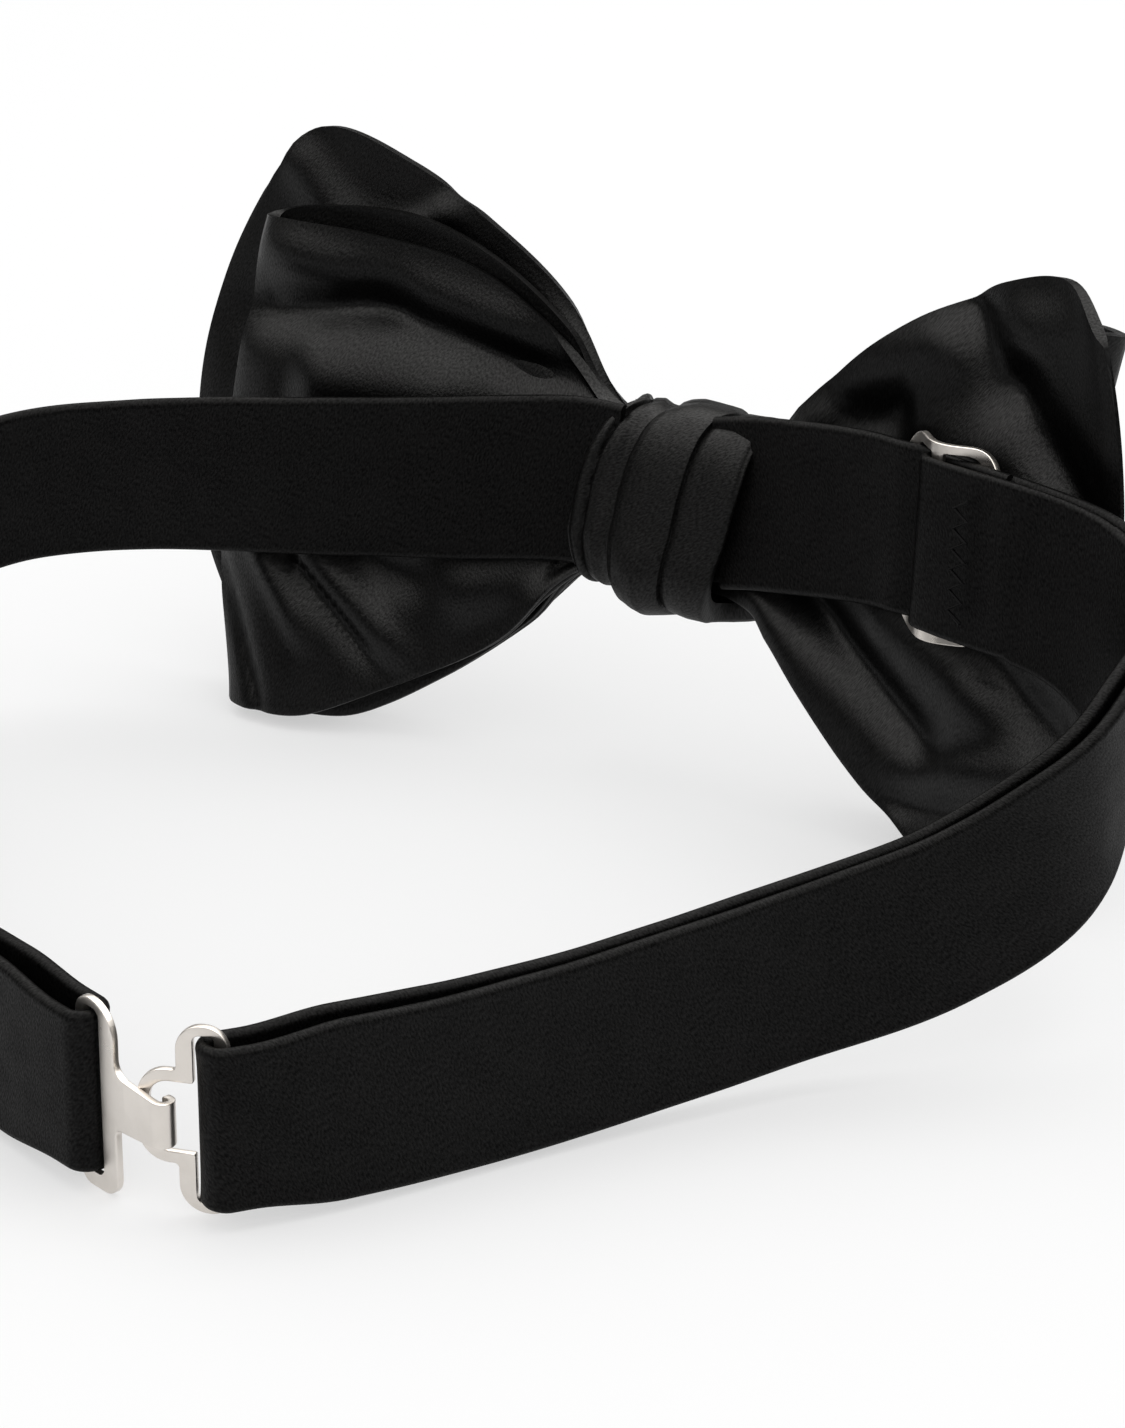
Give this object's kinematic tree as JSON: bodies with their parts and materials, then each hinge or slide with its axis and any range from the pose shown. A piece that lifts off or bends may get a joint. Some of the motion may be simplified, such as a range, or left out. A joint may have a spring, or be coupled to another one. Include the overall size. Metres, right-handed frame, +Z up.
{
  "type": "bow tie",
  "caption": "Pre-tied black satin butterfly bow tie with an adjustable strap, slider, hook and eye, laid out standing on its wing tips with the clasp closed.",
  "frame": {"origin": "on the surface the bow tie stands on, in the middle of its footprint", "axes": "+X to the wearer's left along the bow, +Y from the bow's front towards the neck and the clasp, +Z up"},
  "size_m": [0.1582, 0.1372, 0.0685],
  "materials": {
    "satin": "black silk satin, fine diagonal weave, soft sheen",
    "interlining": "stiff woven canvas, hidden inside the satin",
    "thread": "black sewing thread",
    "nickel": "satin nickel plate on stamped steel"
  },
  "bodies": {
    "bow": {"front_ribbon": "satin", "front_ribbon_interlining": "interlining", "back_ribbon": "satin", "back_ribbon_interlining": "interlining", "knot_wrap": "satin", "knot_tack": "thread", "neckband_center": "satin", "neckband_center_interlining": "interlining"},
    "band": {"fixed_arm": "satin", "fixed_arm_interlining": "interlining", "hook_fold_stitching": "thread", "adjusting_arm": "satin", "adjusting_arm_interlining": "interlining", "adjusting_inner_layer": "satin", "adjusting_inner_layer_interlining": "interlining"},
    "slider": {"slider_frame": "nickel", "slider_strap_end": "satin", "slider_stitching": "thread"},
    "band_end": {"adjusting_end": "satin", "adjusting_end_interlining": "interlining"},
    "hook": {"hook": "nickel"},
    "eye": {"eye": "nickel"}
  },
  "joints": [
    {"name": "band_tilt", "type": "hinge", "parent": "bow", "child": "band", "pos_m": [-0.00267, -0.05158, 0.0347], "axis": [1, 0, 0], "range_deg": [0, 8]},
    {"name": "slider_travel", "type": "slide", "parent": "band", "child": "slider", "axis": [-0.9699, 0.242, 0.026], "range_m": [-0.004, 0.004], "stiffness_N_per_m": 20},
    {"name": "band_swing", "type": "hinge", "parent": "band", "child": "band_end", "pos_m": [-0.07707, -0.01738, 0.02743], "axis": [0, 0, 1], "range_deg": [-30, 0], "stiffness_Nm_per_rad": 0.01},
    {"name": "hook_pivot", "type": "hinge", "parent": "band", "child": "hook", "pos_m": [-0.00737, 0.06502, 0.011], "axis": [0, 0, 1], "range_deg": [-8, 8], "stiffness_Nm_per_rad": 0.001},
    {"name": "eye_pivot", "type": "hinge", "parent": "band_end", "child": "eye", "pos_m": [-0.02377, 0.06391, 0.011], "axis": [0, 0, 1], "range_deg": [-8, 8]}
  ],
  "couplings": [
    {"joint": "eye_pivot", "follows": "hook_pivot", "ratio": -1}
  ]
}
